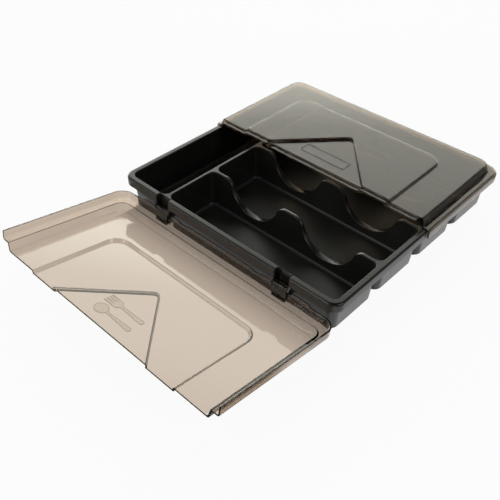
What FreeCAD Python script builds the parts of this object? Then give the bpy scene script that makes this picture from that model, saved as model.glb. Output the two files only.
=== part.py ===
import FreeCAD
import Part
import math
import os

from FreeCAD import Vector

# Lidded utensil box: a black moulded tray of five cups under one rim, and two clear lids that snap
# into hinges on opposite sides of the rim and meet in the middle. X runs along the hinge lines, Y
# from the front lid's hinge to the rear lid's, and Z up. The front lid stands open against its stop,
# and the rear lid is closed. The origin is on the table, in the middle of the floor space that the
# box takes up in this pose. All sizes in millimetres.

# Tray, outside
tray_length = 342.0
tray_depth = 344.0
tray_height = 51.0
rim_corner_radius = 14.0
rim_edge_rounding = 2.5
edge_bands = 2
rim_thickness = 2.0
skirt_depth = 11.7
skirt_thickness = 1.8
tray_wall = 2.0

# Tray, cups and dividers
rim_width = 8.25
floor_thickness = 2.0
wall_draft = 0.055
cup_corner_radius = 8.5
floor_rounding = 5.0
foot_bevel = 3.9
crest_bevel = 1.1
long_cup_width = 63.8
long_divider_width = 4.6
cross_divider_width = 4.6
cross_divider_pitch = 83.6
curtain_depth = 26.0

# Wavy tops of the cross dividers
dip_depth = 37.5
dip_radius = 39.0
dip_shoulder_radius = 14.0
dip_pitch = 115.4

# Lids
lid_wall = 1.8
lid_clearance = 0.2
lid_overhang = 2.8
lip_depth = 11.9
hinge_lip_depth = 14.8
hinge_lip_length = 268.0
lip_ramp = 4.0
lid_edge_rounding = 3.0
free_edge_gap = 0.9
lap_reach = 5.5
lap_clearance = 0.5
panel_rise = 11.0
panel_inset = 9.1
panel_draft = 0.25
panel_corner_radius = 11.0
panel_edge_rounding = 2.0
field_rise = 3.4
field_length = 230.6
field_depth = 119.7
field_draft = 0.5
field_corner_radius = 18.0
triangle_base = 151.0
triangle_height = 83.2
triangle_apex_radius = 6.0
finger_dip_offset = 60.0
finger_dip_length = 14.0
finger_dip_depth = 1.8

# Hinges
hinge_pitch = 193.2
hinge_drop = 16.8
hinge_inset = 0.5
open_angle = 170.0
tab_width = 19.7
tab_thickness = 4.0
knuckle_radius = 3.0
tab_side_clearance = 0.9
pin_radius = 2.2
pin_length = 2.5
pin_clearance = 0.08
notch_depth = 6.8
cheek_thickness = 2.8
cheek_radius = 3.6
cheek_heel = 4.4
lip_notch_clearance = 0.7
lip_notch_height = 6.0
stop_clearance = 0.15
stop_top_drop = 5.0
stop_height = 4.0

# Heights and places that follow
rim_top = tray_height
rim_underside = rim_top - rim_thickness
curtain_bottom = rim_top - curtain_depth
inner_length = tray_length - 2 * rim_width
inner_depth = tray_depth - 2 * rim_width
inner_left = -inner_length / 2
inner_right = inner_length / 2
long_divider_x = inner_left + long_cup_width + long_divider_width / 2
short_cups_left = long_divider_x + long_divider_width / 2
short_cups_middle = (short_cups_left + inner_right) / 2
cross_divider_places = [-cross_divider_pitch, 0.0, cross_divider_pitch]
flange_underside = rim_top + lid_clearance
flange_top = flange_underside + lid_wall
panel_top = flange_top + panel_rise
field_top = panel_top + field_rise
hinge_z = rim_top - hinge_drop
hinge_y = tray_depth / 2 - hinge_inset
notch_width = tab_width + 2 * tab_side_clearance
overlap = 1.0
above = 5.0
tolerance = 1e-3


def round_rectangle(x_low, x_high, y_low, y_high, radius, z):
    """Closed outline of a rectangle with round corners, at height z."""
    centres = [
        (x_high - radius, y_low + radius, -90),
        (x_high - radius, y_high - radius, 0),
        (x_low + radius, y_high - radius, 90),
        (x_low + radius, y_low + radius, 180),
    ]
    arcs = []
    for centre_x, centre_y, start in centres:
        ring = Part.Circle(Vector(centre_x, centre_y, z), Vector(0, 0, 1), radius)
        arcs.append(Part.ArcOfCircle(ring, math.radians(start), math.radians(start + 90)).toShape())
    edges = []
    for index, arc in enumerate(arcs):
        following = arcs[(index + 1) % len(arcs)]
        edges.append(arc)
        edges.append(Part.makeLine(arc.Vertexes[-1].Point, following.Vertexes[0].Point))
    return Part.Wire(edges)


def shell_solid(faces):
    """Solid inside a closed set of faces."""
    shell = Part.makeShell(faces)
    shell.sewShape()
    return Part.makeSolid(shell)


def flat_face(points):
    """Flat face between corner points."""
    return Part.Face(Part.makePolygon(points + points[:1]))


def banded_block(x_low, x_high, y_low, y_high, radius, z_wide, z_edge, draft, rounding):
    """Block with leaning walls, from its wide outline at z_wide to its rounded edge at z_edge.

    The walls lean in by the draft, and the edge is rounded off in flat bands.
    """
    height = abs(z_edge - z_wide)
    up = 1 if z_edge > z_wide else -1
    levels = [(z_wide, 0)]
    for step in range(edge_bands if rounding else 0, -1, -1):
        turn = math.radians(90 * step / edge_bands)
        depth = rounding * (1 - math.cos(turn))
        levels.append((z_edge - up * depth, rounding * (1 - math.sin(turn)) + draft * (height - depth)))
    outlines = [round_rectangle(x_low + inset, x_high - inset, y_low + inset, y_high - inset, radius, z)
                for z, inset in sorted(levels)]
    faces = [Part.Face(outlines[0]), Part.Face(outlines[-1])]
    for lower, upper in zip(outlines, outlines[1:]):
        for below, over in zip(lower.Edges, upper.Edges):
            if hasattr(below.Curve, "Radius"):
                faces.append(Part.makeRuledSurface(below, over))
            else:
                faces.append(flat_face([vertex.Point for vertex in below.Vertexes + over.Vertexes[::-1]]))
    return shell_solid(faces)


def leaning_block(x_low, x_high, y_low, y_high, radius, z_low, z_high, draft):
    """Block with round corners whose four walls lean in towards the bottom."""
    lean = draft * (z_high - z_low)
    upper = [Vector(x_low, y_low, z_high), Vector(x_high, y_low, z_high),
             Vector(x_high, y_high, z_high), Vector(x_low, y_high, z_high)]
    lower = [Vector(x_low + lean, y_low + lean, z_low), Vector(x_high - lean, y_low + lean, z_low),
             Vector(x_high - lean, y_high - lean, z_low), Vector(x_low + lean, y_high - lean, z_low)]
    faces = [flat_face(upper), flat_face(lower[::-1])]
    for index in range(4):
        following = (index + 1) % 4
        faces.append(flat_face([lower[index], lower[following], upper[following], upper[index]]))
    solid = shell_solid(faces)
    corners = [edge for edge in solid.Edges if edge.BoundBox.ZLength > tolerance]
    return solid.makeFillet(radius, corners)


def straight_block(x_low, x_high, y_low, y_high, radius, z_low, z_high):
    """Upright block with round corners."""
    outline = round_rectangle(x_low, x_high, y_low, y_high, radius, z_low)
    return Part.Face(outline).extrude(Vector(0, 0, z_high - z_low))


def box(x_low, x_high, y_low, y_high, z_low, z_high):
    """Plain block between two corners."""
    return Part.makeBox(x_high - x_low, y_high - y_low, z_high - z_low, Vector(x_low, y_low, z_low))


def edges_at_height(shape, z):
    """Edges that lie flat at height z."""
    return [edge for edge in shape.Edges
            if abs(edge.BoundBox.ZMin - z) < tolerance and abs(edge.BoundBox.ZMax - z) < tolerance]


def side_profile(points, x_low, x_high):
    """Outline of (y, z) points, made solid between two places along X."""
    corners = [Vector(x_low, y, z) for y, z in points]
    outline = Part.makePolygon(corners + corners[:1])
    return Part.Face(outline).extrude(Vector(x_high - x_low, 0, 0))


def fuse_all(shapes):
    """One solid from shapes that meet."""
    whole = shapes[0].fuse(shapes[1:])
    return whole.removeSplitter()


def cup_places():
    """Top outlines of the five cups as (x_low, x_high, y_low, y_high)."""
    half = inner_depth / 2
    places = [(inner_left, inner_left + long_cup_width, -half, half)]
    starts = [-half] + [place + cross_divider_width / 2 for place in cross_divider_places]
    ends = [place - cross_divider_width / 2 for place in cross_divider_places] + [half]
    for y_low, y_high in zip(starts, ends):
        places.append((short_cups_left, inner_right, y_low, y_high))
    return places


def cup_outside(x_low, x_high, y_low, y_high):
    """Outer form of one cup, with its bevelled foot edge."""
    block = leaning_block(x_low - tray_wall, x_high + tray_wall, y_low - tray_wall, y_high + tray_wall,
                          cup_corner_radius + tray_wall, 0, rim_top, wall_draft)
    return block.makeChamfer(foot_bevel, edges_at_height(block, 0))


def cup_inside(x_low, x_high, y_low, y_high):
    """Hollow of one cup, with its rounded floor edge."""
    lift = above * wall_draft
    return banded_block(x_low - lift, x_high + lift, y_low - lift, y_high + lift,
                         cup_corner_radius, rim_top + above, floor_thickness, wall_draft, floor_rounding)


def dip_outline(middle, y_low, offset):
    """Closed face of one dip in a divider's top, from shoulder to shoulder, and offset into the wall."""
    top = rim_top - offset
    deep_radius = dip_radius + offset
    shoulder_radius = dip_shoulder_radius - offset
    deep_centre = rim_top - dip_depth + dip_radius
    shoulder_centre = rim_top - dip_shoulder_radius
    drop = deep_centre - shoulder_centre
    reach = math.sqrt((dip_radius + dip_shoulder_radius) ** 2 - drop ** 2)
    steepness = math.atan2(reach, drop)
    joint_x = deep_radius * math.sin(steepness)
    joint_z = deep_centre - deep_radius * math.cos(steepness)
    shoulder_x = reach - shoulder_radius * math.sin(steepness / 2)
    shoulder_z = shoulder_centre + shoulder_radius * math.cos(steepness / 2)
    roof = top + above

    def at(x, z):
        return Vector(middle + x, y_low, z)

    edges = [
        Part.Arc(at(-reach, top), at(-shoulder_x, shoulder_z), at(-joint_x, joint_z)).toShape(),
        Part.Arc(at(-joint_x, joint_z), at(0, deep_centre - deep_radius), at(joint_x, joint_z)).toShape(),
        Part.Arc(at(joint_x, joint_z), at(shoulder_x, shoulder_z), at(reach, top)).toShape(),
        Part.makeLine(at(reach, top), at(reach, roof)),
        Part.makeLine(at(reach, roof), at(-reach, roof)),
        Part.makeLine(at(-reach, roof), at(-reach, top)),
    ]
    return Part.Face(Part.Wire(edges))


def dips(place, offset):
    """Both dips of the cross divider at y = place, as cutting solids across its whole width."""
    half = cross_divider_width / 2 + wall_draft * (dip_depth + offset) + overlap
    cuts = []
    for side in (-1, 1):
        middle = short_cups_middle + side * dip_pitch / 2
        face = dip_outline(middle, place - half, offset)
        cuts.append(face.extrude(Vector(0, 2 * half, 0)))
    return cuts


def divider_deck(place):
    """Closed top between the two cup walls that make a cross divider, one wall thick everywhere."""
    half = cross_divider_width / 2 + wall_draft * (dip_depth + tray_wall)
    deck = box(short_cups_left - tray_wall, inner_right + tray_wall, place - half, place + half,
               rim_top - dip_depth - tray_wall, rim_top)
    hollow_under = box(short_cups_left - tray_wall - overlap, inner_right + tray_wall + overlap,
                       place - half - overlap, place + half + overlap,
                       rim_top - dip_depth - tray_wall - overlap, rim_top - tray_wall)
    for dip in dips(place, tray_wall):
        hollow_under = hollow_under.cut(dip)
    return deck.cut(hollow_under)


def rim_ring():
    """Flat rim with its rounded outer edge and the skirt that hangs from it."""
    x = tray_length / 2
    y = tray_depth / 2
    solid = banded_block(-x, x, -y, y, rim_corner_radius, rim_top - skirt_depth, rim_top, 0,
                          rim_edge_rounding)
    inner_x = x - skirt_thickness
    inner_y = y - skirt_thickness
    hollow = straight_block(-inner_x, inner_x, -inner_y, inner_y, rim_corner_radius - skirt_thickness,
                            rim_top - skirt_depth - overlap, rim_underside)
    return solid.cut(hollow)


def tub_curtain():
    """Wall that closes the gaps between the cups on the outside, down to the curtain's lower edge."""
    x = inner_length / 2 + tray_wall
    y = inner_depth / 2 + tray_wall
    outside = banded_block(-x, x, -y, y, cup_corner_radius + tray_wall, rim_top, 0, wall_draft, 0)
    outside = outside.common(box(-x, x, -y, y, curtain_bottom, rim_top))
    inner_x = x - tray_wall
    inner_y = y - tray_wall
    inside = banded_block(-inner_x, inner_x, -inner_y, inner_y, cup_corner_radius, rim_top, 0,
                           wall_draft, 0)
    inside = inside.common(box(-x, x, -y, y, curtain_bottom - overlap, rim_underside))
    return outside.cut(inside)


def hinge_notches(side):
    """Room for the lid's tabs in the rim and skirt on one side."""
    outer = side * (tray_depth / 2 + overlap)
    inner = side * (tray_depth / 2 - notch_depth)
    notches = []
    for hand in (-1, 1):
        middle = hand * hinge_pitch / 2
        notches.append(box(middle - notch_width / 2, middle + notch_width / 2,
                           min(inner, outer), max(inner, outer),
                           rim_top - skirt_depth - overlap, rim_top + overlap))
    return notches


def hinge_cheeks(side):
    """Cheeks with pin holes on both sides of each notch, and the stop web between them."""
    wall_y = inner_depth / 2 + tray_wall - wall_draft * hinge_drop - tray_wall / 2
    parts = []
    for hand in (-1, 1):
        middle = hand * hinge_pitch / 2
        for end in (-1, 1):
            inner_x = middle + end * notch_width / 2
            outer_x = inner_x + end * cheek_thickness
            x_low = min(inner_x, outer_x)
            x_high = max(inner_x, outer_x)
            skirt_y = tray_depth / 2 - skirt_thickness / 2
            plate = side_profile([
                (side * wall_y, rim_underside + overlap / 2),
                (side * skirt_y, rim_underside + overlap / 2),
                (side * skirt_y, rim_top - skirt_depth),
                (side * (hinge_y + cheek_radius * 0.6), hinge_z + cheek_radius * 0.8),
                (side * (hinge_y - cheek_radius * 0.6), hinge_z - cheek_radius * 0.8),
                (side * wall_y, hinge_z - cheek_radius - cheek_heel),
            ], x_low, x_high)
            eye = Part.makeCylinder(cheek_radius, x_high - x_low, Vector(x_low, side * hinge_y, hinge_z),
                                    Vector(1, 0, 0))
            hole = Part.makeCylinder(pin_radius + pin_clearance, x_high - x_low + 2 * overlap,
                                     Vector(x_low - overlap, side * hinge_y, hinge_z), Vector(1, 0, 0))
            parts.append(plate.fuse(eye).cut(hole))
        parts.append(stop_web(side, middle, wall_y))
    return parts


def stop_web(side, middle, wall_y):
    """Web behind the tab, which the lid's lip meets when the lid is open."""
    turn = math.radians(open_angle)
    lip_face = hinge_inset + lid_overhang

    def front(drop):
        along = (drop - lip_face * math.sin(turn)) / -math.cos(turn)
        return hinge_y + lip_face * math.cos(turn) + along * math.sin(turn) - stop_clearance

    low_drop = stop_top_drop + stop_height
    return side_profile([
        (side * wall_y, hinge_z - stop_top_drop),
        (side * front(stop_top_drop), hinge_z - stop_top_drop),
        (side * front(low_drop), hinge_z - low_drop),
        (side * wall_y, hinge_z - low_drop),
    ], middle - notch_width / 2 - overlap, middle + notch_width / 2 + overlap)


def mouth_edges(solid):
    """Sharp edges round the cup mouths, along the flat rim and over the wavy dividers."""
    picked = []
    for edge in solid.Edges:
        reach = edge.BoundBox
        if max(-reach.XMin, reach.XMax) > inner_right + tolerance:
            continue
        if max(-reach.YMin, reach.YMax) > inner_depth / 2 + tolerance:
            continue
        waves = [face.Surface for face in solid.ancestorsOfType(edge, Part.Face)
                 if isinstance(face.Surface, Part.Cylinder) and abs(face.Surface.Axis.y) > 1 - tolerance]
        level = min(abs(reach.ZMin - rim_top), abs(reach.ZMax - rim_top))
        flat = reach.ZLength < tolerance and level < tolerance
        if flat and not waves:
            picked.append(edge)
        elif len(waves) == 1 and reach.XLength > tolerance:
            if min(abs(waves[0].Radius - radius) for radius in (dip_radius, dip_shoulder_radius)) < tolerance:
                picked.append(edge)
    return picked


def make_tray():
    """Five cups, curtain, rim and hinge cheeks as one moulding."""
    places = cup_places()
    solid = fuse_all([cup_outside(*place) for place in places] + [tub_curtain(), rim_ring()]
                     + [divider_deck(place) for place in cross_divider_places])
    deck_x = long_divider_width / 2 + tray_wall / 2
    solid = solid.fuse(box(long_divider_x - deck_x, long_divider_x + deck_x, -inner_depth / 2,
                           inner_depth / 2, rim_underside, rim_top))
    for place in places:
        solid = solid.cut(cup_inside(*place))
    for place in cross_divider_places:
        for dip in dips(place, 0):
            solid = solid.cut(dip)
    solid = solid.removeSplitter()
    solid = solid.makeChamfer(crest_bevel, mouth_edges(solid))
    for side in (-1, 1):
        for notch in hinge_notches(side):
            solid = solid.cut(notch)
    return fuse_all([solid] + hinge_cheeks(-1) + hinge_cheeks(1))


def lid_form(inset):
    """Outer form of a closed rear lid, or its inner form when inset is the wall's thickness."""
    x = tray_length / 2 + lid_overhang - inset
    y = tray_depth / 2 + lid_overhang - inset
    bottom = flange_top - hinge_lip_depth - (overlap if inset else 0)
    corner = rim_corner_radius + lid_overhang - inset
    base = banded_block(-x, x, -y, y, corner, bottom, flange_top - inset, 0, lid_edge_rounding - inset)
    foot = panel_draft * panel_rise
    px = tray_length / 2 - panel_inset + foot - inset
    py = tray_depth / 2 - panel_inset + foot - inset
    panel = banded_block(-px, px, -py, py, panel_corner_radius + foot - inset, flange_top - inset,
                          panel_top - inset, panel_draft, panel_edge_rounding)
    return base.fuse([panel, field_form(inset)])


def field_form(inset):
    """Raised field on the panel, with the triangle left low at the free edge."""
    foot = field_draft * field_rise
    x = field_length / 2 + foot - inset
    y = field_depth + foot - inset
    block = banded_block(-x, x, -y, y, field_corner_radius + foot - inset, panel_top - inset,
                          field_top - inset, field_draft, 0)
    lean = math.atan2(triangle_base / 2, triangle_height)
    half = triangle_base / 2 + inset / math.cos(lean)
    apex = triangle_height + inset / math.sin(lean)
    corners = [Vector(-half * 2, -apex, 0), Vector(half * 2, -apex, 0), Vector(0, apex, 0)]
    outline = Part.makePolygon(corners + corners[:1])
    triangle = Part.Face(outline).extrude(Vector(0, 0, field_rise + 2 * overlap))
    upright = [edge for edge in triangle.Edges
               if edge.BoundBox.ZLength > overlap and edge.BoundBox.YMin > apex - tolerance]
    triangle = triangle.makeFillet(triangle_apex_radius + inset, upright)
    triangle.translate(Vector(0, 0, panel_top - inset))
    return block.cut(triangle)


def lip_trims():
    """What is taken off the lip's lower edge: the shallow ends, the finger dips and the hinge gaps."""
    x = tray_length / 2 + lid_overhang + overlap
    y = tray_depth / 2 + lid_overhang + overlap
    low = flange_top - hinge_lip_depth - 2 * overlap
    shallow = flange_top - lip_depth
    deep = flange_top - hinge_lip_depth
    hinge_side = tray_depth / 2 - rim_corner_radius
    ends = box(-x, x, -y, hinge_side, low, shallow)
    trims = [ends]
    for hand in (-1, 1):
        half = hinge_lip_length / 2
        corners = [Vector(hand * half, hinge_side, low), Vector(hand * half, hinge_side, deep),
                   Vector(hand * (half + lip_ramp), hinge_side, shallow), Vector(hand * x, hinge_side, shallow),
                   Vector(hand * x, hinge_side, low)]
        outline = Part.makePolygon(corners + corners[:1])
        trims.append(Part.Face(outline).extrude(Vector(0, y - hinge_side, 0)))
        dip = finger_dip_offset * hand
        trims.append(box(dip - finger_dip_length / 2, dip + finger_dip_length / 2, hinge_side, y,
                         low, deep + finger_dip_depth))
        middle = hand * hinge_pitch / 2
        for end in (-1, 1):
            near = middle + end * tab_width / 2
            far = near + end * (tab_side_clearance + cheek_thickness + lip_notch_clearance)
            trims.append(box(min(near, far), max(near, far), hinge_side, y, low, deep + lip_notch_height))
    return trims


def hinge_tab(middle):
    """Tab, knuckle and side pins of a closed rear lid at one hinge."""
    x_low = middle - tab_width / 2
    x_high = middle + tab_width / 2
    plate = box(x_low, x_high, hinge_y - tab_thickness / 2, hinge_y + tab_thickness / 2,
                hinge_z, flange_underside + overlap / 2)
    knuckle = Part.makeCylinder(knuckle_radius, tab_width, Vector(x_low, hinge_y, hinge_z), Vector(1, 0, 0))
    reach = tab_side_clearance + pin_length
    pins = Part.makeCylinder(pin_radius, tab_width + 2 * reach, Vector(x_low - reach, hinge_y, hinge_z),
                             Vector(1, 0, 0))
    return [plate, knuckle, pins]


def make_lid():
    """Clear lid with a plain free edge, drawn closed over the rear half."""
    x = tray_length / 2 + lid_overhang + overlap
    y = tray_depth / 2 + lid_overhang + overlap
    shell = lid_form(0).cut(lid_form(lid_wall))
    shell = shell.common(box(-x, x, free_edge_gap / 2, y, 0, field_top + overlap))
    for trim in lip_trims():
        shell = shell.cut(trim)
    tabs = []
    for hand in (-1, 1):
        tabs += hinge_tab(hand * hinge_pitch / 2)
    return fuse_all([shell] + tabs)


def lap_strip():
    """Strip along the rear lid's free edge, one wall lower, that the front lid's edge closes onto."""
    x = tray_length / 2 - panel_inset - lid_wall - 2 * panel_edge_rounding
    edge = free_edge_gap / 2
    root = edge + lid_wall
    seat = lid_wall + lap_clearance
    strip = lid_form(seat).cut(lid_form(seat + lid_wall))
    strip.rotate(Vector(0, 0, 0), Vector(0, 0, 1), 180)
    strip = strip.common(box(-x, x, -lap_reach, root, flange_top, field_top))
    step = lid_form(lid_wall / 2).cut(lid_form(seat + lid_wall))
    step = step.common(box(-x, x, edge, root, flange_top, field_top))
    return [strip, step]


def open_front(lid):
    """A plain lid turned to the front and swung open about its hinge."""
    front = lid.copy()
    front.rotate(Vector(0, 0, 0), Vector(0, 0, 1), 180)
    front.rotate(Vector(0, -hinge_y, hinge_z), Vector(1, 0, 0), open_angle)
    return front


def build():
    """All named pieces of the box, about the middle of the floor space that they take up."""
    lid = make_lid()
    pieces = {
        "tray": make_tray(),
        "rear_lid": fuse_all([lid] + lap_strip()),
        "front_lid": open_front(lid),
    }
    footprint_middle = (pieces["front_lid"].BoundBox.YMin + pieces["rear_lid"].BoundBox.YMax) / 2
    for piece in pieces.values():
        piece.translate(Vector(0, -footprint_middle, 0))
    print("hinge axes at y %.4f and %.4f, z %.4f" % (-hinge_y - footprint_middle,
                                                     hinge_y - footprint_middle, hinge_z))
    return pieces


os.makedirs("parts", exist_ok=True)
for name, shape in build().items():
    print(name, "solids", len(shape.Solids), "valid", shape.isValid(), "volume %.0f" % shape.Volume)
    shape.exportStep("parts/%s.step" % name)
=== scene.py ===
import math

import bmesh
import bpy
from mathutils import Matrix, Vector


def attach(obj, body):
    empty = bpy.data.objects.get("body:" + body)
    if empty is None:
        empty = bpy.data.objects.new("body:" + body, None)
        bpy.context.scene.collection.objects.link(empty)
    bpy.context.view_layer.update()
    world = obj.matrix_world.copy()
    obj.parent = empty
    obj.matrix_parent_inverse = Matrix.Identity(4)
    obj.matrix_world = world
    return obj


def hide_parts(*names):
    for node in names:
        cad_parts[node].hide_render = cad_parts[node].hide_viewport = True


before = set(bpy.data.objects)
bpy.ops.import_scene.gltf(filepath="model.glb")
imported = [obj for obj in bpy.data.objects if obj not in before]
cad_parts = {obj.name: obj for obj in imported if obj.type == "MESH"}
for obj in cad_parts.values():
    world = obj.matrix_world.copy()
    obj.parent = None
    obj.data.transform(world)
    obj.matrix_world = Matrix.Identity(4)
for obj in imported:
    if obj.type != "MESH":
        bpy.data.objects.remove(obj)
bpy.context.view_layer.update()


# The tray: five cups under one rim, moulded in a single shot of black polypropylene. The mould was
# finely spark-eroded, so the skin is satin, and the cups' floors, where tools rub, are matt.
MM = 0.001
weld_distance = 0.004 * MM
flat_within = math.radians(0.6)
round_below = math.radians(50)
bevel_samples = 8
tray_edge_radius = 0.7 * MM
tray_black = (0.0125, 0.0123, 0.0113, 1.0)
tray_rubbed_black = (0.0155, 0.0152, 0.0140, 1.0)
tray_ior = 1.5
tray_roughness = 0.2
floor_matt_roughness = 0.28
floor_matt_below = 3 * MM
floor_satin_above = 6 * MM
rubbed_per_metre = 28
rubbed_detail = 3
rubbed_from = 0.42
rubbed_full = 0.7
rubbed_roughness = 0.05
grain_per_metre = 2600
grain_detail = 2
grain_roughness = 0.05
grain_strength = 0.25
grain_height = 0.02 * MM

# A Mix node's colours go by number, because its number and vector sockets share their names.
mix_first, mix_second, mix_result = 6, 7, 2


class Signal:
    """One output of a node. Sums written with it add Math nodes."""

    def __init__(self, finish, socket):
        self.finish = finish
        self.socket = socket

    def maths(self, operation, first, second):
        return self.finish.node("ShaderNodeMath", {"operation": operation}, {0: first, 1: second})

    def __add__(self, other):
        return self.maths("ADD", self, other)

    def __radd__(self, other):
        return self.maths("ADD", other, self)

    def __sub__(self, other):
        return self.maths("SUBTRACT", self, other)

    def __rsub__(self, other):
        return self.maths("SUBTRACT", other, self)

    def __mul__(self, other):
        return self.maths("MULTIPLY", self, other)

    def __rmul__(self, other):
        return self.maths("MULTIPLY", other, self)

    def __abs__(self):
        return self.finish.node("ShaderNodeMath", {"operation": "ABSOLUTE"}, {0: self})


class Finish:
    """A material, or a world, whose nodes are added one by one."""

    def __init__(self, owner):
        self.owner = owner
        owner.use_nodes = True
        self.tree = owner.node_tree
        nodes = self.tree.nodes
        self.shader = next(node for node in nodes if not node.type.startswith("OUTPUT"))
        self.surface = next(node for node in nodes if node.type.startswith("OUTPUT"))

    def node(self, kind, settings, sockets, output=0):
        """A node with its settings, then the values or links of its sockets."""
        made = self.tree.nodes.new(kind)
        for setting, value in settings.items():
            if setting == "stops":
                self.set_stops(made.color_ramp.elements, value)
            else:
                setattr(made, setting, value)
        for socket, value in sockets.items():
            self.feed(made, socket, value)
        return Signal(self, made.outputs[output])

    def set_stops(self, elements, stops):
        """A ramp's stops, from pairs of a place and a grey level. The ramp has two of its own."""
        elements.remove(elements[1])
        for place, level in stops[1:]:
            elements.new(place)
        for element, (place, level) in zip(elements, stops):
            element.position = place
            element.color = (level, level, level, 1)

    def feed(self, made, socket, value):
        """Links a signal to a node's socket, or sets a plain value there."""
        if isinstance(value, Signal):
            self.tree.links.new(value.socket, made.inputs[socket])
        else:
            made.inputs[socket].default_value = value

    def place(self, axis):
        """The piece's own coordinate along one axis, in metres."""
        place = self.node("ShaderNodeTexCoord", {}, {}, "Object")
        return self.node("ShaderNodeSeparateXYZ", {}, {"Vector": place}, axis)

    def fade(self, value, start, end, before, after, ease="SMOOTHSTEP"):
        """A level that goes from before to after as the value goes from start to end."""
        return self.node("ShaderNodeMapRange", {"clamp": True, "interpolation_type": ease},
                         {"Value": value, "From Min": start, "From Max": end,
                          "To Min": before, "To Max": after})

    def mix(self, share, first, second):
        """The first colour where the share is 0, and the second where it is 1."""
        return self.node("ShaderNodeMix", {"data_type": "RGBA"},
                         {"Factor": share, mix_first: first, mix_second: second}, mix_result)

    def noise(self, per_metre, detail, roughness=0.5):
        """Noise on the piece's own coordinates, from 0 to 1."""
        place = self.node("ShaderNodeTexCoord", {}, {}, "Object")
        return self.node("ShaderNodeTexNoise", {},
                         {"Vector": place, "Scale": per_metre, "Detail": detail,
                          "Roughness": roughness})

    def skin(self, height, strength, distance, edge_radius):
        """The surface's bumps, on edges that look rounded off."""
        soft_edges = self.node("ShaderNodeBevel", {"samples": bevel_samples},
                               {"Radius": edge_radius})
        bumps = self.node("ShaderNodeBump", {},
                          {"Strength": strength, "Distance": distance, "Height": height,
                           "Normal": soft_edges})
        self.feed(self.shader, "Normal", bumps)


def skin_of(node, name):
    """A CAD node's shape as one skin: triangles joined, flats cleaned, rounds smooth."""
    piece = bpy.data.objects.new(name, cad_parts[node].data.copy())
    bpy.context.collection.objects.link(piece)
    bpy.ops.object.select_all(action="DESELECT")
    piece.select_set(True)
    bpy.context.view_layer.objects.active = piece
    bpy.ops.object.mode_set(mode="EDIT")
    bpy.ops.mesh.customdata_custom_splitnormals_clear()
    bpy.ops.mesh.select_all(action="SELECT")
    bpy.ops.mesh.remove_doubles(threshold=weld_distance)
    bpy.ops.mesh.dissolve_limited(angle_limit=flat_within)
    bpy.ops.object.mode_set(mode="OBJECT")
    bpy.ops.object.shade_smooth_by_angle(angle=round_below)
    bpy.ops.object.modifier_add(type="WEIGHTED_NORMAL")
    piece.modifiers[-1].keep_sharp = True
    bpy.ops.object.modifier_apply(modifier=piece.modifiers[-1].name)
    piece.data.materials.clear()
    return piece


def tray_finish():
    """Satin black plastic with an eroded grain, faint rubbed patches and matt cup floors."""
    finish = Finish(bpy.data.materials.new("satin_black_polypropylene"))
    grain = finish.noise(grain_per_metre, grain_detail)
    patches = finish.noise(rubbed_per_metre, rubbed_detail)
    rubbed = finish.fade(patches, rubbed_from, rubbed_full, 0.0, 1.0, "LINEAR")
    matt = finish.fade(finish.place("Z"), floor_matt_below, floor_satin_above,
                       floor_matt_roughness, 0.0, "LINEAR")
    roughness = tray_roughness + matt + rubbed_roughness * rubbed + grain_roughness * grain
    finish.feed(finish.shader, "Base Color", finish.mix(rubbed, tray_black, tray_rubbed_black))
    finish.feed(finish.shader, "Roughness", roughness)
    finish.feed(finish.shader, "IOR", tray_ior)
    finish.skin(grain, grain_strength, grain_height, tray_edge_radius)
    return finish.owner


tray = skin_of("tray", "tray_moulding")
tray.data.materials.append(tray_finish())
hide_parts("tray")
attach(tray, "tray")


# The two lids: polished styrene, 1.8 mm thick, clear with a smoky brown tint. Its cut edges, where
# light runs through more plastic, look nearly black. The wide webs are faintly wavy, and the lip
# over the front hinges, where the skirt shows through, is not.
lid_tint = (0.96, 0.818, 0.694, 1.0)
lid_smoke = (0.50, 0.47, 0.43, 1.0)
lid_smoke_per_metre = 530.0
lid_ior = 1.55
lid_roughness = 0.02
lid_edge_radius = 1.0 * MM
smears_per_metre = 22
smear_detail = 4
smear_contrast = 0.6
smear_roughness = 0.05
waves_per_metre = 35
wave_detail = 1
wave_strength = 0.04
wave_height = 0.15 * MM
front_lip_y = -92 * MM
lip_reach = 13 * MM
web_start = 25 * MM


def lid_finish():
    """Clear smoky styrene with faint smears and waves."""
    finish = Finish(bpy.data.materials.new("smoky_clear_styrene"))
    smears = finish.noise(smears_per_metre, smear_detail, smear_contrast)
    from_lip = abs(finish.place("Y") - front_lip_y)
    web = finish.fade(from_lip, lip_reach, web_start, 0.0, 1.0, "LINEAR")
    waves = finish.noise(waves_per_metre, wave_detail) * web
    smoke = finish.node("ShaderNodeVolumeAbsorption", {},
                        {"Color": lid_smoke, "Density": lid_smoke_per_metre})
    finish.feed(finish.shader, "Base Color", lid_tint)
    finish.feed(finish.shader, "Transmission Weight", 1.0)
    finish.feed(finish.shader, "IOR", lid_ior)
    finish.feed(finish.shader, "Roughness", lid_roughness + smear_roughness * smears)
    finish.skin(waves, wave_strength, wave_height, lid_edge_radius)
    finish.feed(finish.surface, "Volume", smoke)
    return finish.owner


lid_plastic = lid_finish()
for side in ("front_lid", "rear_lid"):
    lid = skin_of(side, side + "_shell")
    lid.data.materials.append(lid_plastic)
    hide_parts(side)
    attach(lid, side)


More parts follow.
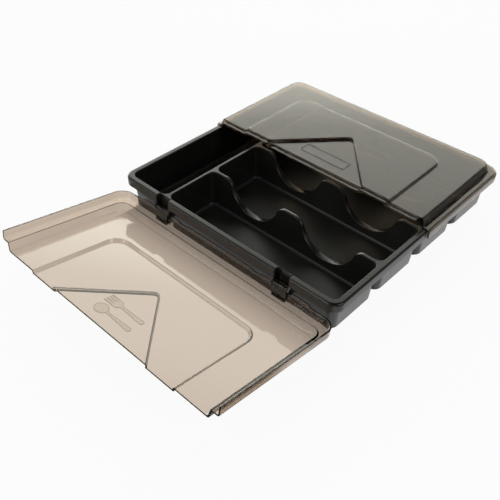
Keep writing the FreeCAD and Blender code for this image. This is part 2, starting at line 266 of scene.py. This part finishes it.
# The empty nameplate on the rear lid: a thin raised line round a bare field, moulded with the lid
# on its low triangle. Its line is painted a dark, half-clear grey, as painted shade for the dark
# edges that the clear raised line shows. It is also a little frosted, so it veils what lies behind
# it.
nameplate_at = Vector((0, 109.6, 64)) * MM
nameplate_size = Vector((70, 17.6, 0.3)) * MM
nameplate_corner = 3 * MM
nameplate_corner_steps = 5
nameplate_line = 1.1 * MM
nearly_level = 0.9
nameplate_painted_shade_grey = (0.05, 0.047, 0.042, 1.0)
nameplate_roughness = 0.35
nameplate_cover = 0.45
nameplate_edge_radius = 0.1 * MM
frost_per_metre = 900
frost_detail = 2
frost_roughness = 0.25
frost_cover = 0.1
frost_strength = 0.2
frost_height = 0.02 * MM
relief_sink = 0.02 * MM


def nameplate_finish():
    """The nameplate's line: frosted plastic in a dark grey that is painted shade."""
    finish = Finish(bpy.data.materials.new("nameplate_relief"))
    frost = finish.noise(frost_per_metre, frost_detail)
    # The dark grey is painted shade for the raised line's edges.
    finish.feed(finish.shader, "Base Color", nameplate_painted_shade_grey)
    finish.feed(finish.shader, "Roughness", nameplate_roughness + frost_roughness * frost)
    finish.feed(finish.shader, "Alpha", nameplate_cover + frost_cover * frost)
    finish.skin(frost, frost_strength, frost_height, nameplate_edge_radius)
    return finish.owner


def select(piece, kind, wanted):
    """Selects, in edit mode, the piece's faces or edges that the test wants, and no others."""
    bpy.ops.mesh.select_mode(type="FACE" if kind == "faces" else "EDGE")
    bpy.ops.mesh.select_all(action="DESELECT")
    mesh = bmesh.from_edit_mesh(piece.data)
    for part in getattr(mesh, kind):
        part.select_set(wanted(part))
    bmesh.update_edit_mesh(piece.data)


def is_upright(edge):
    return abs(edge.verts[0].co.z - edge.verts[1].co.z) > nameplate_size.z / 2


def is_level(face):
    return abs(face.normal.z) > nearly_level


bpy.ops.object.select_all(action="DESELECT")
bpy.ops.mesh.primitive_cube_add(size=1, location=nameplate_at, scale=nameplate_size)
nameplate = bpy.context.object
nameplate.name = "empty_nameplate"
nameplate.location.z += nameplate_size.z / 2 - relief_sink
bpy.ops.object.transform_apply(location=True, rotation=True, scale=True)
bpy.ops.object.mode_set(mode="EDIT")
select(nameplate, "edges", is_upright)
bpy.ops.mesh.bevel(offset=nameplate_corner, segments=nameplate_corner_steps)
select(nameplate, "faces", is_level)
bpy.ops.mesh.inset(thickness=nameplate_line, use_individual=True)
bpy.ops.mesh.bridge_edge_loops()
bpy.ops.mesh.select_all(action="SELECT")
bpy.ops.mesh.normals_make_consistent(inside=False)
bpy.ops.object.mode_set(mode="OBJECT")
nameplate.data.materials.append(nameplate_finish())
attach(nameplate, "rear_lid")


# The spoon and fork on the front lid's triangle: plain shapes in low relief on its outer face, so
# they are seen through the lid while it lies open. Their rims get a darker tint, painted shade for
# the thin darker outlines that the relief's sides show. Each is drawn flat along X, and its
# handle's steps say where it starts, how far it goes and how it widens.
front_hinge = Vector((0, -86.0418, 34.2)) * MM
open_angle = math.radians(170)
lid_face_z = 64 * MM
cutlery_height = 0.5 * MM
cutlery_rim = 0.6 * MM
cutlery_tint = (0.85, 0.82, 0.79, 1.0)
cutlery_rim_painted_shade_tint = (0.42, 0.40, 0.38, 1.0)
cutlery_roughness = 0.04
cutlery_rim_slot = 1
spoon_bowl = Vector((8.9, 7.9, 1)) * MM
spoon_bowl_sides = 28
spoon_handle = ((8.7, 3, 0.9), (11, 33, 2.0), (43, 2, 0.6))
fork_handle = ((3.9, 3.5, 0.3), (7.4, 33, 1.6), (40, 2, 0.6))
fork_head_length = 8 * MM
fork_head_end = -3.9 * MM
tine_width = 1.8 * MM
tine_length = 10.5 * MM
tine_slack = 0.3 * MM
tines_and_gaps = 7
tine_steps = (-3, -1, 1, 3)
swing_open = (Matrix.Translation(front_hinge) @ Matrix.Rotation(open_angle, 4, "X")
              @ Matrix.Translation(-front_hinge))


def cutlery_finish(name, tint):
    """The lid's own plastic, where it is thicker. On the rims its darker tint is painted shade."""
    finish = Finish(bpy.data.materials.new(name))
    finish.feed(finish.shader, "Base Color", tint)
    finish.feed(finish.shader, "Transmission Weight", 1.0)
    finish.feed(finish.shader, "IOR", lid_ior)
    finish.feed(finish.shader, "Roughness", cutlery_roughness)
    return finish.owner


# The second finish, on the rims, is darker as painted shade.
cutlery_finishes = (cutlery_finish("cutlery_relief", cutlery_tint),
                    cutlery_finish("cutlery_rim", cutlery_rim_painted_shade_tint))


def pull(piece, wanted, shift, widen):
    """Extrudes the outer edges whose middles the test wants along X, and widens the new ones."""
    def is_pulled(edge):
        return edge.is_boundary and wanted((edge.verts[0].co + edge.verts[1].co) / 2)

    select(piece, "edges", is_pulled)
    bpy.ops.mesh.extrude_region_move(TRANSFORM_OT_translate={"value": (shift, 0, 0)})
    bpy.ops.transform.resize(value=(1, widen, 1), center_override=(0, 0, 0))


def draw_handle(piece, steps):
    """Pulls the handle out of the bowl or head, step by step."""
    for start, reach, widen in steps:
        pull(piece, lambda middle: middle.x > start * MM, reach * MM, widen)


def stamp(piece, x, from_hinge):
    """Gives a flat shape its rim and height and puts it on the outer face of the open lid."""
    for finish in cutlery_finishes:
        piece.data.materials.append(finish)
    bpy.ops.mesh.select_mode(type="FACE")
    bpy.ops.mesh.select_all(action="SELECT")
    bpy.ops.mesh.normals_make_consistent(inside=False)
    bpy.ops.mesh.inset(thickness=cutlery_rim)
    bpy.ops.mesh.select_all(action="INVERT")
    piece.active_material_index = cutlery_rim_slot
    bpy.ops.object.material_slot_assign()
    bpy.ops.object.mode_set(mode="OBJECT")
    bpy.ops.object.modifier_add(type="SOLIDIFY")
    piece.modifiers[-1].thickness = cutlery_height
    piece.modifiers[-1].offset = 1
    bpy.ops.object.modifier_apply(modifier=piece.modifiers[-1].name)
    on_closed_lid = Vector((x, front_hinge.y + from_hinge, lid_face_z - relief_sink))
    piece.matrix_world = swing_open @ Matrix.Translation(on_closed_lid)
    bpy.ops.object.transform_apply(location=True, rotation=True, scale=True)
    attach(piece, "front_lid")


bpy.ops.object.select_all(action="DESELECT")
bpy.ops.mesh.primitive_circle_add(vertices=spoon_bowl_sides, radius=1, fill_type="NGON")
spoon = bpy.context.object
spoon.name = "spoon_relief"
spoon.scale = spoon_bowl
bpy.ops.object.transform_apply(location=False, rotation=False, scale=True)
bpy.ops.object.mode_set(mode="EDIT")
draw_handle(spoon, spoon_handle)
stamp(spoon, x=-18.5 * MM, from_hinge=151.5 * MM)

bpy.ops.object.select_all(action="DESELECT")
bpy.ops.mesh.primitive_grid_add(x_subdivisions=1, y_subdivisions=tines_and_gaps, size=1)
fork = bpy.context.object
fork.name = "fork_relief"
fork.scale = Vector((fork_head_length, tines_and_gaps * tine_width, MM))
bpy.ops.object.transform_apply(location=False, rotation=False, scale=True)
bpy.ops.object.mode_set(mode="EDIT")
for step in tine_steps:
    tine_y = step * tine_width
    pull(fork, lambda middle: middle.x < fork_head_end and abs(middle.y - tine_y) < tine_slack,
         -tine_length, 1.0)
draw_handle(fork, fork_handle)
stamp(fork, x=-14 * MM, from_hinge=134.5 * MM)


# The surroundings: a white sheet under the box, in a dim room. Seen straight on, the sheet glows
# evenly. What the box mirrors or shows through its lids carries painted shadow: the sheet glows
# beside and in front of the tray and not under it. Across the tray's width, from a little in front
# of it to under and behind it, its glow is painted down. The box's gloss mirrors it only close by,
# with painted shade further off. A bright band in the room stands behind the box and on its left,
# and falls off towards the right.
sheet_width = 6
paper_white = (0.85, 0.85, 0.85, 1.0)
paper_roughness = 0.9
paper_glow_seen = 0.94
tray_middle = 85.5 * MM
tray_reach = 171 * MM
tray_front = -86 * MM
front_dim_from = -30 * MM
front_lit_from = 50 * MM
painted_shadow_glow = 0.3
side_dark_from = -14 * MM
side_lit_from = -8 * MM
gloss_full_to = 50 * MM
gloss_faint_from = 90 * MM
painted_far_shade_depth = 0.85
bpy.ops.mesh.primitive_plane_add(size=sheet_width, location=(0, 0, 0))
sheet = bpy.context.object
sheet.name = "white_sheet"
paper = Finish(bpy.data.materials.new("white_paper"))
paper.feed(paper.shader, "Base Color", paper_white)
paper.feed(paper.shader, "Roughness", paper_roughness)
camera_ray = paper.node("ShaderNodeLightPath", {}, {}, "Is Camera Ray")
glossy_ray = paper.node("ShaderNodeLightPath", {}, {}, "Is Glossy Ray")
clear_ray = paper.node("ShaderNodeLightPath", {}, {}, "Is Transmission Ray")
beside = abs(paper.place("X")) - tray_reach
behind = abs(paper.place("Y") - tray_middle) - tray_reach
in_front = tray_front - paper.place("Y")
apart = paper.node("ShaderNodeMath", {"operation": "MAXIMUM"}, {0: beside, 1: behind})
# Painted shadow of the tray, for mirrored and see-through rays: across the tray's width the sheet's
# glow drops to 0.3 near, under and behind the tray.
painted_shadow_in_front = paper.fade(in_front, front_dim_from, front_lit_from, painted_shadow_glow, 1.0)
painted_shadow_beside = paper.fade(beside, side_dark_from, side_lit_from, 0.0, 1.0, "LINEAR")
painted_shadow = paper.node("ShaderNodeMath", {"operation": "MAXIMUM"}, {0: painted_shadow_in_front, 1: painted_shadow_beside})
# Painted shade in gloss: beyond 50 mm from the tray the mirrored sheet fades, except where it is
# seen through a lid.
painted_far_shade = paper.fade(apart, gloss_full_to, gloss_faint_from, 0.0, painted_far_shade_depth)
mirrored_painted_glow = painted_shadow * (1 - painted_far_shade * glossy_ray * (1 - clear_ray))
glow = paper.node("ShaderNodeEmission", {},
                  {"Strength": camera_ray + (1 - camera_ray) * mirrored_painted_glow})
paper_shader = Signal(paper, paper.shader.outputs[0])
seen = camera_ray * paper_glow_seen + glossy_ray + clear_ray
surface = paper.node("ShaderNodeMixShader", {}, {0: seen, 1: paper_shader, 2: glow})
paper.feed(paper.surface, "Surface", surface)
sheet.data.materials.append(paper.owner)

band_strength = 5.0
band_by_height = [(0.0, 0.9), (0.22, 1.0), (0.34, 0.62), (0.44, 0.44), (0.475, 0.345),
                  (0.505, 0.204), (0.58, 0.186), (0.64, 0.048), (0.72, 0.014)]
band_in_front = 0.35
band_behind = 1.0
band_behind_from = 0.5
band_on_left = 1.05
band_left_to = -0.55
band_on_right = 0.10
band_right_from = 0.35
room_white = (0.985, 1.0, 0.92, 1.0)
plain_white = (1.0, 1.0, 1.0, 1.0)
room = Finish(bpy.data.worlds.new("room"))
bpy.context.scene.world = room.owner
direction = room.node("ShaderNodeTexCoord", {}, {}, "Generated")
rightwards = room.node("ShaderNodeSeparateXYZ", {}, {"Vector": direction}, "X")
backwards = room.node("ShaderNodeSeparateXYZ", {}, {"Vector": direction}, "Y")
upwards = room.node("ShaderNodeSeparateXYZ", {}, {"Vector": direction}, "Z")
band = room.node("ShaderNodeValToRGB", {"stops": band_by_height}, {0: upwards})
band = band * room.fade(backwards, 0.0, band_behind_from, band_in_front, band_behind)
band = band * room.fade(rightwards, band_left_to, band_right_from, band_on_left, band_on_right)
straight = room.node("ShaderNodeLightPath", {}, {}, "Is Camera Ray")
room.feed(room.shader, "Color", room.mix(straight, room_white, plain_white))
room.feed(room.shader, "Strength", band_strength * band * (1 - straight) + straight)


# The lamps: a broad one low behind the box, which gives its tops their sheen, and two small bright
# ones left and right of the photographer. Angles are in degrees, as in the camera's views.
def softbox(name, azimuth, elevation, distance, size, radiance, colour):
    """A square lamp that faces the box."""
    around = math.radians(azimuth)
    above = math.radians(elevation)
    away = Vector((math.sin(around) * math.cos(above), -math.cos(around) * math.cos(above),
                   math.sin(above)))
    bpy.ops.object.light_add(type="AREA", location=away * distance)
    lamp = bpy.context.object
    lamp.name = name
    lamp.rotation_euler = away.to_track_quat("Z", "Y").to_euler()
    lamp.data.size = size
    lamp.data.color = colour
    lamp.data.energy = radiance * math.pi * size ** 2


softbox("back_softbox", azimuth=215, elevation=32, distance=1.7, size=1.7, radiance=1.02,
        colour=(0.98, 1.0, 0.91))
softbox("left_softbox", azimuth=-12, elevation=40, distance=1.5, size=0.6, radiance=3.1,
        colour=(1.0, 1.0, 1.0))
softbox("right_softbox", azimuth=92, elevation=38, distance=1.5, size=0.6, radiance=3.1,
        colour=(1.0, 1.0, 1.0))


# The camera, where the photographer stood: right of the box's front, looking down on it and turned
# a little on its own axis. The lens is for a sensor 36 mm wide.
camera_at = Vector((421.4, -493.7, 539.5)) * MM
camera_target = Vector((10.03, -42.32, 5.01)) * MM
camera_roll = math.radians(1.09)
camera_lens = 47.97
sensor_width = 36
nearest_seen = 0.01
bpy.ops.object.camera_add(location=camera_at)
camera = bpy.context.object
back = (camera_at - camera_target).normalized()
level = Matrix.Rotation(camera_roll, 3, back)
right = level @ Vector((0, 0, 1)).cross(back).normalized()
camera.rotation_euler = Matrix((right, back.cross(right), back)).transposed().to_euler()
camera.data.lens = camera_lens
camera.data.sensor_width = sensor_width
camera.data.clip_start = nearest_seen
bpy.context.scene.camera = camera
bpy.context.scene.view_settings.view_transform = "Standard"
